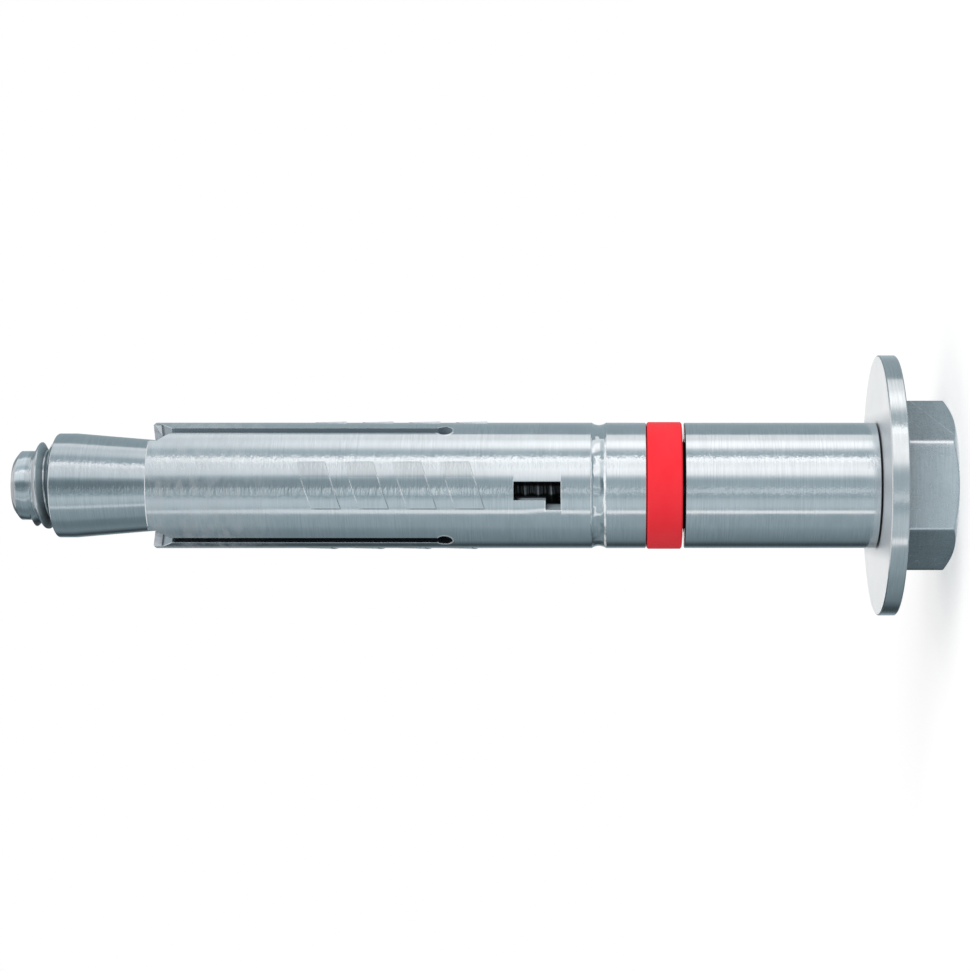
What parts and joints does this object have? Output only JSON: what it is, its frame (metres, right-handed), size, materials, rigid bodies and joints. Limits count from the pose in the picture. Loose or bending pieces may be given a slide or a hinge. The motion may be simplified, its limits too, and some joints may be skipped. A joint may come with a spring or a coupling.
{
  "type": "sleeve anchor",
  "caption": "Sleeve anchor for a drilled hole: hex bolt, flat washer, spacer tube, red crush ring, slotted expansion sleeve and a cone nut at the tip.",
  "frame": {"origin": "centre of the hex head's end face, on which the anchor stands", "axes": "+Z along the bolt towards its tip, +X towards a corner of the hexagon, -Y towards the side with the window"},
  "size_m": [0.03, 0.03, 0.1076],
  "materials": {
    "bolt_steel": "forged and turned steel, bright zinc plating",
    "washer_steel": "punched steel sheet, bright zinc plating",
    "sleeve_steel": "drawn steel tube, bright zinc plating with fine lines round it",
    "cone_steel": "turned steel, bright zinc plating",
    "red_plastic": "moulded plastic, satin"
  },
  "bodies": {
    "bolt": {"hex_bolt": "bolt_steel"},
    "washer": {"washer": "washer_steel"},
    "spacer": {"spacer_sleeve": "sleeve_steel"},
    "ring": {"crush_ring": "red_plastic"},
    "sleeve": {"expansion_sleeve": "sleeve_steel"},
    "cone": {"cone_nut": "cone_steel"}
  },
  "joints": [
    {"name": "washer_spin", "type": "hinge", "parent": "bolt", "child": "washer", "pos_m": [0, 0, 0.0074], "axis": [0, 0, 1], "continuous": true},
    {"name": "spacer_spin", "type": "hinge", "parent": "bolt", "child": "spacer", "pos_m": [0, 0, 0.0196], "axis": [0, 0, 1], "continuous": true},
    {"name": "ring_spin", "type": "hinge", "parent": "bolt", "child": "ring", "pos_m": [0, 0, 0.0329], "axis": [0, 0, 1], "continuous": true},
    {"name": "sleeve_turn", "type": "hinge", "parent": "bolt", "child": "sleeve", "pos_m": [0, 0, 0.063], "axis": [0, 0, 1], "range_deg": [0, 1080]},
    {"name": "cone_travel", "type": "slide", "parent": "sleeve", "child": "cone", "axis": [0, 0, 1], "range_m": [0, 0.0045]}
  ],
  "couplings": [
    {"joint": "cone_travel", "follows": "sleeve_turn", "m_per_rad": 0.00023873}
  ]
}
